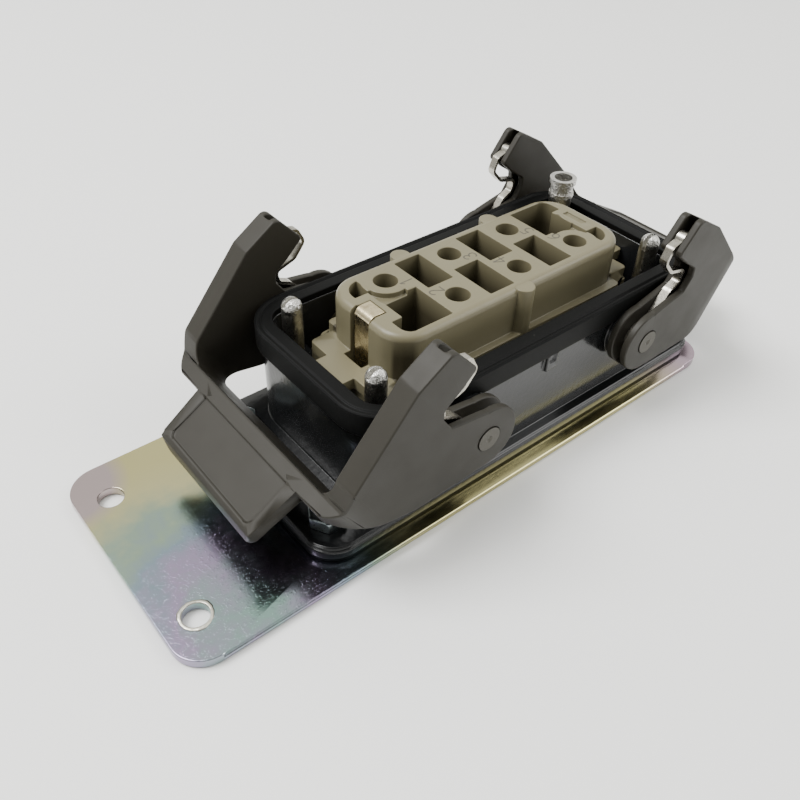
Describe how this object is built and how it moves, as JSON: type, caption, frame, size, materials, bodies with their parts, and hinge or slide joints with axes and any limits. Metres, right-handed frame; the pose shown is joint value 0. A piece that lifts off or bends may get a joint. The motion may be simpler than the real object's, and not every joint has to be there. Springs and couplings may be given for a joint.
{
  "type": "heavy duty rectangular connector",
  "caption": "Rectangular power connector in a black bulkhead housing with locking levers and guide pins, bolted to a steel adapter plate.",
  "frame": {"origin": "midway between the two free fixing holes, on the underside of the adapter plate", "axes": "+X along the plate towards the connector, +Y across it, +Z out of the plate towards the mating face"},
  "size_m": [0.1568, 0.0578, 0.0459],
  "materials": {
    "zinc_plate": "yellow passivated, satin",
    "seal_rubber": "matt",
    "black_coating": "gloss powder coat",
    "screw_steel": "zinc plated",
    "insert_plastic": "moulded, satin",
    "plated_strip": "silver plated, slightly tarnished",
    "contact_metal": "dull plated",
    "pin_steel": "turned",
    "lever_plastic": "moulded, fine matt",
    "spring_steel": "bright strip"
  },
  "bodies": {
    "base": {"adapter_plate": "zinc_plate", "flange_seal": "seal_rubber", "housing": "black_coating", "flange_screws": "screw_steel", "rim_seal": "seal_rubber", "insert_body": "insert_plastic", "terminal_screws": "screw_steel", "earth_strip": "plated_strip", "earth_terminal": "contact_metal", "earth_screw": "screw_steel", "guide_pin_left_back": "pin_steel", "guide_pin_left_front": "pin_steel", "guide_pin_right_front": "pin_steel", "guide_bush": "pin_steel", "pivot_pin_left_front": "pin_steel", "pivot_pin_left_back": "pin_steel", "pivot_pin_right_front": "pin_steel", "pivot_pin_right_back": "pin_steel", "contact_1": "contact_metal", "contact_2": "contact_metal", "contact_3": "contact_metal", "contact_4": "contact_metal", "contact_5": "contact_metal", "contact_6": "contact_metal"},
    "left_lever": {"lever_left": "lever_plastic", "spring_left_front": "spring_steel", "spring_left_back": "spring_steel"},
    "right_lever": {"lever_right": "lever_plastic", "spring_right_front": "spring_steel", "spring_right_back": "spring_steel"}
  },
  "joints": [
    {"name": "left_lever_hinge", "type": "hinge", "parent": "base", "child": "left_lever", "pos_m": [0.0571, 0, 0.0199], "axis": [0, 1, 0], "range_deg": [0, 42]},
    {"name": "right_lever_hinge", "type": "hinge", "parent": "base", "child": "right_lever", "pos_m": [0.1049, 0, 0.0199], "axis": [0, -1, 0], "range_deg": [-5, 37]}
  ]
}
